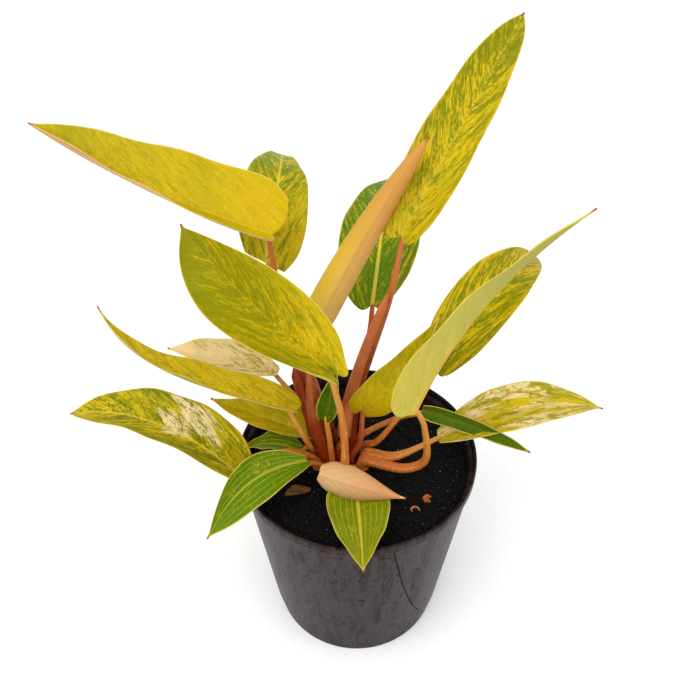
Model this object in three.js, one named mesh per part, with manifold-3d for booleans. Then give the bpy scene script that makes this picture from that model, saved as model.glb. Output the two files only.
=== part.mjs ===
// Potted philodendron: a tapered nursery pot, its soil, and a crown of leaves on long petioles.
// Millimetres, +Z up, origin at the centre of the pot's underside.
import * as THREE from 'three';
import { mergeVertices } from 'three/addons/utils/BufferGeometryUtils.js';
import Module from 'manifold-3d';

const wasm = await Module();
wasm.setup();

// ---- driving dimensions ----
const POT = {
  height: 130,
  topRadius: 67.5,
  baseRadius: 50.5,
  wall: 1.6,
  floor: 2.5,
  rimHeight: 6,
  rimStep: 2.2,
  footRing: 7,
  footLift: 2,
  padRadius: 14,
  sides: 48,
};
const DRAIN = { count: 8, radius: 2.4, pitchRadius: 29, sides: 10 };
const PANEL = { count: 3, firstAngle: -28, halfWidth: 47, proud: 0.9, bottom: 13, arcSteps: 14 };
const SOIL = {
  drop: 8, edgeDip: 2.5, lump: 0.6, lumpPitch: 22, flatRadius: 22, flatBlend: 8,
  rings: 6, sides: 40, wallClearance: 0.15,
};
const CROWN = { x: -10, y: 1, radius: 4.2, height: 13, waist: 0.7, sides: 10 };
const FEET = { inner: 8, outer: 14.5, rise: 6 };
const BLADE = { thickness: 0.9, rows: 10, columns: 6, tipWidth: 0.5, taper: 1.15 };
const PETIOLE = { sides: 6, steps: 9, topRadius: 1.5 };
const PELLET = { x: 38, y: -29, radius: 2.3, squash: 0.8, detail: 1 };
const SHAVING = {
  x: 31, y: -38, width: 2.2, length: 3.5, rootRadius: 0.8, tipRadius: 0.5, lift: 0.3, turn: 200,
  sides: 6, steps: 10,
};
const HUSK = { x: -33, y: -24, length: 15, width: 7, thickness: 0.8, cup: 0.3, turn: 20, lift: 0, steps: 8 };
const GAP = 0.3;

const soilLevel = POT.height - SOIL.drop;
const crownBase = new THREE.Vector3(CROWN.x, CROWN.y, soilLevel);

// ---- materials ----
const paint = (color, roughness) => new THREE.MeshStandardMaterial({ color, roughness, metalness: 0 });
const MATERIALS = {
  pot: paint('#3d383b', 0.38),
  soil: paint('#15130f', 0.95),
  stem: paint('#a8702c', 0.55),
  gold: paint('#cdbb24', 0.45),
  green: paint('#7d9a1f', 0.45),
  cream: paint('#d9b683', 0.5),
  petiole: paint('#c8742a', 0.45),
  debris: paint('#b5763a', 0.8),
};

// ---- leaves ----
// Places are from the crown's base, in millimetres. "foot" is a ring of feet, an angle on it in
// degrees from +X, and the petiole's radius there. "way" holds the points that the petiole passes,
// "neck" is where it meets the blade and "tip" is the blade's point. "roll" turns the blade about
// the line from neck to tip, and "twist" turns it further towards the tip. "arch" and "sweep" bow
// the midrib up and sideways. "fold" lifts the halves into a trough and "curl" rounds it. "lobe"
// is how far the blade reaches back past the neck, "widest" is where along it is widest, and
// "hook", where a blade has it, turns its last part up.
const LEAVES = [
  {
    name: 'left_gold', tone: 'gold', foot: ['inner', 155, 2.7], way: [[-16, 9, 42], [-28, 19, 86]],
    neck: [-35, 36, 131], tip: [-158, 79, 169],
    width: 34, roll: -35, twist: 0, arch: 6, sweep: 2, fold: 14, curl: 20, lobe: 9, widest: 0.13,
  },
  {
    name: 'back_left', tone: 'green', foot: ['inner', 110, 2.3], way: [[-10, 14, 30], [-24, 30, 70]],
    neck: [-36, 43, 109], tip: [-37, 148, 112],
    width: 42, roll: 8, twist: 0, arch: 20, sweep: 0, fold: 5, curl: 15, lobe: 7, widest: 0.28,
  },
  {
    name: 'left_broad', tone: 'green', foot: ['outer', 279, 2.7], way: [[3, -18, 14], [2, -18, 48]],
    neck: [-2, -25, 90], tip: [-79, 24, 144],
    width: 48, roll: -46, twist: 20, arch: 14, sweep: 0, fold: 14, curl: 20, lobe: 8, widest: 0.34,
  },
  {
    name: 'rolled_young', tone: 'gold', foot: ['inner', 200, 2.7], way: [[-13, -1, 34], [-15, 3, 66]],
    neck: [-10, 9, 96], tip: [46, 69, 167],
    width: 38, roll: -150, twist: 0, arch: 4, sweep: 0, fold: 10, curl: 95, lobe: 4, widest: 0.3,
  },
  {
    name: 'right_tall', tone: 'gold', foot: ['inner', 60, 2.7], way: [[8, 13, 40], [26, 20, 100]],
    neck: [33, 28, 132], tip: [96, 114, 210],
    width: 31, roll: 5, twist: 0, arch: 10, sweep: 0, fold: 12, curl: 20, lobe: 8, widest: 0.28,
  },
  {
    name: 'back_middle', tone: 'green', foot: ['outer', 80, 2.4], way: [[6, 19, 30], [16, 29, 66]],
    neck: [20, 37, 87], tip: [28, 148, 102],
    width: 48, roll: 13, twist: -20, arch: 8, sweep: 0, fold: 14, curl: 18, lobe: 8, widest: 0.3,
  },
  {
    name: 'right_speckled', tone: 'gold', foot: ['outer', 17, 2.1], way: [[20, 1, 12], [31, 1, 30]],
    neck: [50, 3, 59], tip: [115, 72, 86],
    width: 40, roll: 25, twist: -20, arch: 14, sweep: -9, fold: 14, curl: 20, lobe: 6, widest: 0.26,
  },
  {
    name: 'right_inner', tone: 'gold', foot: ['inner', 330, 2.2], way: [[11, -2, 14]],
    neck: [13, 4, 31], tip: [49, -4, 107],
    width: 30, roll: 80, twist: 0, arch: 6, sweep: 0, fold: 14, curl: 20, lobe: 2, widest: 0.26,
  },
  {
    name: 'right_long', tone: 'green', foot: ['outer', 330, 2.9],
    way: [[36, -13, 7], [49, -12, 14], [47, -18, 45]],
    neck: [40, -29, 68], tip: [108, -18, 177],
    width: 42, roll: -18, twist: -35, arch: 12, sweep: 0, fold: 10, curl: 15, lobe: 9, widest: 0.23,
  },
  {
    name: 'right_low', tone: 'cream', foot: ['outer', 353, 2.2], way: [[30, -7, 9]],
    neck: [55, 0, 18], tip: [150, 16, 26],
    width: 30, roll: 25, twist: 5, arch: 5, sweep: -4, fold: 20, curl: 15, lobe: 5, widest: 0.38,
  },
  {
    name: 'right_thin', tone: 'green', foot: ['outer', 42, 2.0], way: [[30, 18, 12]],
    neck: [48, 9, 30], tip: [96, -21, 28],
    width: 12, roll: 60, twist: 0, arch: 0, sweep: 0, fold: 12, curl: 10, lobe: 3, widest: 0.27,
  },
  {
    name: 'left_narrow', tone: 'green', foot: ['outer', 187, 2.2], way: [[-17, -6, 18]],
    neck: [-24, -6, 43], tip: [-132, 20, 76],
    width: 32, roll: 18, twist: 0, arch: -3, sweep: 0, fold: 15, curl: 20, lobe: 6, widest: 0.36, hook: 20,
  },
  {
    name: 'left_olive', tone: 'green', foot: ['outer', 141, 2.0], way: [],
    neck: [-18, 4, 17], tip: [-74, 19, 28],
    width: 26, roll: -15, twist: 25, arch: 5, sweep: 0, fold: 18, curl: 15, lobe: 4, widest: 0.3,
  },
  {
    name: 'left_cream', tone: 'cream', foot: ['outer', 118, 2.0], way: [[-22, 23, 20]],
    neck: [-36, 34, 36], tip: [-101, 52, 38],
    width: 32, roll: -10, twist: 0, arch: 6, sweep: 0, fold: 14, curl: 15, lobe: 5, widest: 0.3,
  },
  {
    name: 'left_low', tone: 'cream', foot: ['outer', 210, 2.3], way: [[-30, -15, 22]],
    neck: [-51, -28, 23], tip: [-149, 6, 30],
    width: 38, roll: -10, twist: 8, arch: 22, sweep: -4, fold: 14, curl: 20, lobe: 6, widest: 0.28,
  },
  {
    name: 'left_striped', tone: 'green', foot: ['outer', 233, 2.2], way: [],
    neck: [-17, -17, 15], tip: [-66, -64, 11],
    width: 30, roll: -35, twist: 20, arch: 6, sweep: 9, fold: 14, curl: 15, lobe: 3, widest: 0.42,
  },
  {
    name: 'left_under', tone: 'green', foot: ['outer', 164, 1.9], way: [],
    neck: [-22, -3, 8], tip: [-55, -4, 12],
    width: 20, roll: 10, twist: 0, arch: 5, sweep: 0, fold: 10, curl: 15, lobe: 4, widest: 0.3,
  },
  {
    name: 'cream_young', tone: 'cream', foot: ['outer', 256, 2.1], way: [],
    neck: [-13, -31, 17], tip: [35, -38, 11],
    width: 22, roll: 5, twist: -20, arch: 2, sweep: 0, fold: 18, curl: 40, lobe: 3, widest: 0.3,
  },
  {
    name: 'front_small', tone: 'green', foot: ['outer', 302, 2.1], way: [[8, -22, 4]],
    neck: [11, -34, 4], tip: [12, -93, 27],
    width: 34, roll: 0, twist: 0, arch: 3, sweep: 0, fold: 3, curl: 10, lobe: 6, widest: 0.3,
  },
  {
    name: 'centre_small', tone: 'green', foot: ['inner', 237, 1.9], way: [],
    neck: [-4, -4, 27], tip: [2, -4, 70],
    width: 14, roll: 95, twist: 0, arch: 0, sweep: 0, fold: 12, curl: 10, lobe: 2, widest: 0.28,
  },
];

// Sheaths are the dry husks that young leaves leave behind, each along a petiole. "path" is
// from the crown's base, and "radii" are the husk's radius at its foot and at its tip.
const SHEATHS = [
  { name: 'right_tall', path: [[0, 0, 14], [1, 6, 32], [12, 11, 70], [23, 16, 106]], radii: [2.2, 0.8] },
  { name: 'left_gold', path: [[-17, 3, 30], [-20, 4, 42], [-25, 8, 58]], radii: [1.6, 1.2] },
];

// ---- solids ----
const degrees = THREE.MathUtils.degToRad;
const vector = (point) => new THREE.Vector3(...point);

// A closed solid skinned over rings of the same even count of points. Each end is closed by
// strips between the first and second half of its ring.
function loft(rings) {
  const sides = rings[0].length;
  const positions = rings.flat().flatMap((point) => point.toArray());
  const indices = [];
  for (let ring = 0; ring + 1 < rings.length; ring++) {
    for (let side = 0; side < sides; side++) {
      const next = (side + 1) % sides;
      const [a, b] = [ring * sides + side, ring * sides + next];
      indices.push(a, b, b + sides, a, b + sides, a + sides);
    }
  }
  const last = (rings.length - 1) * sides;
  for (let near = 0; near + 1 < sides / 2; near++) {
    const far = sides - 1 - near;
    indices.push(near, far, near + 1, near + 1, far, far - 1);
    indices.push(last + near, last + near + 1, last + far, last + near + 1, last + far - 1, last + far);
  }
  const geometry = new THREE.BufferGeometry();
  geometry.setAttribute('position', new THREE.Float32BufferAttribute(positions, 3));
  geometry.setIndex(indices);
  return geometry;
}

function toSolid(geometry) {
  const bare = geometry.clone();
  bare.deleteAttribute('normal');
  bare.deleteAttribute('uv');
  const merged = mergeVertices(bare, 1e-4);
  const mesh = new wasm.Mesh({
    numProp: 3,
    vertProperties: new Float32Array(merged.attributes.position.array),
    triVerts: new Uint32Array(merged.index.array),
  });
  return new wasm.Manifold(mesh);
}

function toGeometry(solid) {
  const mesh = solid.getMesh();
  const geometry = new THREE.BufferGeometry();
  geometry.setAttribute('position', new THREE.Float32BufferAttribute(mesh.vertProperties, 3));
  geometry.setIndex([...mesh.triVerts]);
  return geometry;
}

// A profile of [radius, height] points turned about Z. It starts and ends on the axis.
function turned(profile, sides) {
  return new THREE.LatheGeometry(profile.map(([r, z]) => new THREE.Vector2(r, z)), sides)
    .rotateX(Math.PI / 2);
}

// The height of the soil's top: flat round the crown, and lower and lumpy towards the wall.
function soilTop(x, y) {
  const fromCrown = Math.hypot(x - CROWN.x, y - CROWN.y);
  const wall = innerRadius(soilLevel);
  const dip = SOIL.edgeDip * (Math.hypot(x, y) / wall) ** 4;
  const wave = 2 * Math.PI / SOIL.lumpPitch;
  const lump = Math.sin(wave * x + 1) * Math.cos(wave * y) + Math.sin(wave * (x - y) / 2) + 2;
  const rough = THREE.MathUtils.smoothstep(fromCrown, SOIL.flatRadius, SOIL.flatRadius + SOIL.flatBlend);
  return soilLevel - dip * rough - SOIL.lump * rough * lump / 2;
}

// ---- pot ----
const outerRadius = (z) => POT.baseRadius
  + (POT.topRadius - POT.rimStep - POT.baseRadius) * z / (POT.height - POT.rimHeight);
const innerRadius = (z) => outerRadius(z) - POT.wall;

// A shallow raised panel on the wall, wide under the rim and narrowing to a round foot.
function panel(angle) {
  const top = POT.height - POT.rimHeight;
  const outline = new THREE.Shape();
  outline.moveTo(-PANEL.halfWidth, top);
  outline.quadraticCurveTo(0, 2 * PANEL.bottom - top, PANEL.halfWidth, top);
  const prism = new THREE.ExtrudeGeometry(outline, {
    depth: 2 * POT.topRadius, bevelEnabled: false, curveSegments: PANEL.arcSteps,
  });
  prism.rotateX(Math.PI / 2).rotateZ(Math.PI / 2 + degrees(angle));
  const shell = turned([
    [0, 0], [outerRadius(0) + PANEL.proud, 0],
    [outerRadius(top) + PANEL.proud, top], [0, top],
  ], POT.sides);
  return toSolid(shell).intersect(toSolid(prism));
}

function pot() {
  const { height, rimHeight, rimStep, topRadius, baseRadius, wall, floor } = POT;
  const top = height - rimHeight;
  const body = toSolid(turned([
    [0, 0], [POT.padRadius, 0], [POT.padRadius, POT.footLift],
    [baseRadius - POT.footRing, POT.footLift], [baseRadius - POT.footRing, 0], [baseRadius, 0],
    [outerRadius(top), top], [topRadius, top], [topRadius, height], [0, height],
  ], POT.sides));
  const inside = toSolid(turned([
    [0, POT.footLift + floor], [innerRadius(POT.footLift + floor), POT.footLift + floor],
    [innerRadius(top), top], [topRadius - wall, top + rimStep], [topRadius - wall, height + 1],
    [0, height + 1],
  ], POT.sides));
  let shell = body;
  for (let index = 0; index < PANEL.count; index++) {
    shell = shell.add(panel(PANEL.firstAngle + 360 * index / PANEL.count));
  }
  shell = shell.subtract(inside);
  const drain = new THREE.CylinderGeometry(DRAIN.radius, DRAIN.radius, 20, DRAIN.sides)
    .rotateX(Math.PI / 2);
  for (let index = 0; index < DRAIN.count; index++) {
    const angle = 2 * Math.PI * index / DRAIN.count;
    const [x, y] = [DRAIN.pitchRadius * Math.cos(angle), DRAIN.pitchRadius * Math.sin(angle)];
    shell = shell.subtract(toSolid(drain.clone().translate(x, y, 0)));
  }
  return toGeometry(shell);
}

// ---- soil ----
function soil() {
  const floorTop = POT.footLift + POT.floor + GAP;
  const clear = GAP / Math.cos(Math.PI / SOIL.sides) + SOIL.wallClearance;
  const profile = [[0, floorTop], [innerRadius(floorTop) - clear, floorTop]];
  for (let ring = SOIL.rings; ring >= 0; ring--) {
    profile.push([(innerRadius(soilLevel - SOIL.edgeDip) - clear) * ring / SOIL.rings, soilLevel]);
  }
  const geometry = turned(profile, SOIL.sides);
  const place = geometry.attributes.position;
  for (let index = 0; index < place.count; index++) {
    if (place.getZ(index) < floorTop + 1) continue;
    place.setZ(index, soilTop(place.getX(index), place.getY(index)));
  }
  return geometry;
}

// ---- debris on the soil ----
function pellet() {
  const { x, y, radius, squash, detail } = PELLET;
  return new THREE.IcosahedronGeometry(radius, detail).scale(1, 1, squash)
    .translate(x, y, soilTop(x, y) + squash * radius + GAP);
}

function shaving() {
  const { x, y, width, length, rootRadius, tipRadius, lift, turn, sides, steps } = SHAVING;
  const arc = new THREE.EllipseCurve(0, 0, width, length, 0, degrees(turn));
  const path = new THREE.CatmullRomCurve3(arc.getPoints(steps).map((p) => new THREE.Vector3(p.x, p.y, 0)));
  return stalk(path, rootRadius, tipRadius, 0, sides, steps)
    .translate(x, y, soilTop(x, y) + rootRadius + GAP + lift);
}

function driedLeaf() {
  const { x, y, length, width, thickness, cup, turn, lift, steps } = HUSK;
  const rings = [];
  for (let step = 0; step <= steps; step++) {
    const along = step / steps;
    const half = width / 2 * Math.sin(Math.PI * (0.1 + 0.8 * along));
    const place = (side, height) => new THREE.Vector3(
      length * (along - 0.5), side * half, Math.abs(side) * cup * half + height,
    );
    const upper = [1, 0, -1].map((side) => place(side, thickness));
    const lower = [-1, 0, 1].map((side) => place(side, 0));
    rings.push([...upper, ...lower]);
  }
  return loft(rings).rotateZ(degrees(turn)).translate(x, y, soilTop(x, y) + GAP + lift);
}

// ---- plant ----
function crown() {
  const { radius, height, waist, sides } = CROWN;
  return turned([
    [0, GAP], [radius, GAP], [radius, height / 2], [radius * waist, height * 0.85], [0, height],
  ], sides).translate(CROWN.x, CROWN.y, soilLevel);
}

function footOf(leaf) {
  const [ring, angle] = leaf.foot;
  const turn = degrees(angle);
  return new THREE.Vector3(FEET[ring] * Math.cos(turn), FEET[ring] * Math.sin(turn), GAP);
}

// The petiole's path rises straight from its foot, so that its flat end faces the soil.
function petiolePath(leaf) {
  const foot = footOf(leaf);
  const rise = foot.clone().setZ(FEET.rise);
  const points = [foot, rise, ...leaf.way.map(vector), vector(leaf.neck)];
  return new THREE.CatmullRomCurve3(points, false, 'centripetal');
}

// A tapered stalk along a path. "grown" thickens it and lengthens its tip by a clearance.
function stalk(path, footRadius, tipRadius, grown = 0, sides = PETIOLE.sides, steps = PETIOLE.steps) {
  const frames = path.computeFrenetFrames(steps, false);
  const rings = [];
  for (let step = 0; step <= steps; step++) {
    const along = step / steps;
    const radius = THREE.MathUtils.lerp(footRadius, tipRadius, along) + grown;
    const centre = path.getPointAt(along);
    if (step === steps) centre.addScaledVector(frames.tangents[step], grown);
    const ring = [];
    for (let side = 0; side < sides; side++) {
      const turn = 2 * Math.PI * side / sides;
      const point = centre.clone();
      point.addScaledVector(frames.normals[step], radius * Math.cos(turn));
      point.addScaledVector(frames.binormals[step], radius * Math.sin(turn));
      ring.push(point);
    }
    rings.push(ring);
  }
  return loft(rings);
}

const petiole = (leaf, grown = 0) => stalk(petiolePath(leaf), leaf.foot[2], PETIOLE.topRadius, grown);

function sheath({ path, radii }) {
  const curve = new THREE.CatmullRomCurve3(path.map(vector), false, 'centripetal');
  return stalk(curve, ...radii);
}

// Half the blade's width at a share of its length: round near the neck, drawn out to the tip.
function halfWidth(leaf, along) {
  const start = 0.12;
  const { taper } = BLADE;
  const swell = taper * (leaf.widest + start) / (1 - leaf.widest);
  const shape = (t) => (t + start) ** swell * (1 - t) ** taper;
  return Math.max(leaf.width / 2 * shape(along) / shape(leaf.widest), BLADE.tipWidth);
}

// A point of the blade's upper side. "along" runs from neck to tip, "across" from -1 to 1.
function bladePoint(leaf, along, across) {
  const neck = vector(leaf.neck);
  const chord = vector(leaf.tip).sub(neck);
  const length = chord.length();
  const ahead = chord.normalize();
  const level = new THREE.Vector3(0, 0, 1).addScaledVector(ahead, -ahead.z).normalize();
  const roll = degrees(leaf.roll);
  const side = new THREE.Vector3().crossVectors(ahead, level);
  const up = level.clone().multiplyScalar(Math.cos(roll)).addScaledVector(side, Math.sin(roll));
  side.crossVectors(ahead, up);
  const bow = 4 * along * (1 - along);
  const half = halfWidth(leaf, along);
  const reach = Math.abs(across);
  const fold = degrees(leaf.fold);
  const curl = degrees(leaf.curl);
  const out = half * (Math.sin(fold + curl * reach) - Math.sin(fold)) / curl * Math.sign(across);
  const lift = half * (Math.cos(fold) - Math.cos(fold + curl * reach)) / curl;
  const twist = degrees(leaf.twist) * (2 * along - 1);
  const lobe = leaf.lobe * Math.sin(Math.PI * reach ** 0.9) * (1 - along) ** 4;
  return neck
    .addScaledVector(ahead, length * along - lobe)
    .addScaledVector(side, leaf.sweep * bow + out * Math.cos(twist) - lift * Math.sin(twist))
    .addScaledVector(up, leaf.arch * bow + out * Math.sin(twist) + lift * Math.cos(twist))
    .addScaledVector(up, (leaf.hook ?? 0) * along ** 6);
}

function bladeNormal(leaf, along, across) {
  const step = 0.02;
  const [before, after] = [Math.max(along - step, 0), Math.min(along + step, 1)];
  const [left, right] = [Math.max(across - step, -1), Math.min(across + step, 1)];
  const ahead = bladePoint(leaf, after, across).sub(bladePoint(leaf, before, across));
  const aside = bladePoint(leaf, along, right).sub(bladePoint(leaf, along, left));
  return aside.cross(ahead).normalize();
}

// The blade is a closed sheet. Each ring runs out along its upper side and back along its lower.
function blade(leaf) {
  const rings = [];
  for (let row = 0; row <= BLADE.rows; row++) {
    const along = row / BLADE.rows;
    const upper = [];
    const lower = [];
    for (let column = 0; column <= BLADE.columns; column++) {
      const across = 2 * column / BLADE.columns - 1;
      const point = bladePoint(leaf, along, across);
      upper.push(point);
      lower.push(point.clone().addScaledVector(bladeNormal(leaf, along, across), -BLADE.thickness));
    }
    rings.push([...upper, ...lower.reverse()]);
  }
  return loft(rings);
}

// ---- assembly ----
const group = new THREE.Group();
function add(name, geometry, material, parent = group) {
  const mesh = new THREE.Mesh(geometry, material.clone());
  mesh.name = name;
  parent.add(mesh);
}

add('pot', pot(), MATERIALS.pot);
add('soil', soil(), MATERIALS.soil);
add('crown', crown(), MATERIALS.stem);
add('soil_pellet', pellet(), MATERIALS.debris);
add('wood_shaving', shaving(), MATERIALS.debris);
add('dried_leaf', driedLeaf(), MATERIALS.debris);

const plant = new THREE.Group();
plant.position.copy(crownBase);
group.add(plant);
for (const leaf of LEAVES) {
  add(`petiole_${leaf.name}`, petiole(leaf), MATERIALS.petiole, plant);
  const cut = toSolid(blade(leaf)).subtract(toSolid(petiole(leaf, GAP)));
  add(`blade_${leaf.name}`, toGeometry(cut), MATERIALS[leaf.tone], plant);
}

for (const husk of SHEATHS) {
  add(`sheath_${husk.name}`, sheath(husk), MATERIALS.stem, plant);
}

export default group;
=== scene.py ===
"""Potted philodendron: a tapered nursery pot, its soil, and a crown of mottled leaves on long petioles."""

import math
from dataclasses import dataclass

import bmesh
import bpy
import numpy as np
from bpy.props import FloatProperty, FloatVectorProperty, IntProperty, PointerProperty
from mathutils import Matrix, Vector, noise


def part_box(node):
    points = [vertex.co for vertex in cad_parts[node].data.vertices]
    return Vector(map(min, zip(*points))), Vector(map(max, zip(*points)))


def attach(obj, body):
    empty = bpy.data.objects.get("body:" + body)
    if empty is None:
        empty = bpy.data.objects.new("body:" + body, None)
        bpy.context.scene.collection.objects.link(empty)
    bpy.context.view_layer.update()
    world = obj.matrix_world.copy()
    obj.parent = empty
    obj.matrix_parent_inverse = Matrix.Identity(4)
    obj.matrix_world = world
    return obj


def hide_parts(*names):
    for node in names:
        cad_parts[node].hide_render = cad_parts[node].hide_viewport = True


bl_info = {
    "name": "Potted Philodendron",
    "version": (1, 0, 0),
    "blender": (4, 5, 0),
    "location": "View3D > Sidebar > Philodendron",
    "description": "Builds a potted philodendron around its packed frame",
    "category": "Add Mesh",
}

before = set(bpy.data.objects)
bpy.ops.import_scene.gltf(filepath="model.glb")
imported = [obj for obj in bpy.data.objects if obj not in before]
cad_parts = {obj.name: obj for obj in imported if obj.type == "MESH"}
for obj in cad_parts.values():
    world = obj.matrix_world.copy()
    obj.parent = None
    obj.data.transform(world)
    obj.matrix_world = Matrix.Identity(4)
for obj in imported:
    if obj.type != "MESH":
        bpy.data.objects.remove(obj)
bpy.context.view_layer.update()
MM = 0.001

POT_LOW, POT_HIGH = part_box("pot")
SOIL_LOW, SOIL_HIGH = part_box("soil")
CROWN_LOW, CROWN_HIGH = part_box("crown")
ROOT_GAP = 0.3 * MM
CROWN_BASE = np.array([
    (CROWN_LOW.x + CROWN_HIGH.x) / 2, (CROWN_LOW.y + CROWN_HIGH.y) / 2, CROWN_LOW.z - ROOT_GAP,
])


# ---- leaves ----
@dataclass
class Look:
    """How a blade's upper side is coloured, with shares and strengths from 0 to 1."""
    green: float = 0.5
    depth: float = 0.8
    soft: float = 0.3
    cream: float = 0.0
    spot: tuple = (0.5, 0.5, 0.0)
    along: float = 0.0
    across: float = 0.0
    rib: float = 0.3
    veins: float = 0.06
    comb: float = 1.0
    dark: str = "olive"
    under: str = "under_green"


@dataclass
class Leaf:
    """One leaf. Places are in millimetres from the crown's base, and turns are in degrees."""
    name: str
    slot: str
    foot: tuple
    way: tuple
    neck: tuple
    tip: tuple
    width: float
    roll: float
    twist: float
    arch: float
    sweep: float
    fold: float
    curl: float
    lobe: float
    widest: float
    taper: float
    look: Look
    hook: float = 0.0
    ripple: float = 0.8
    sheath: float = 0.0
    parallel: bool = False
    spine: float = 1.0


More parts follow.
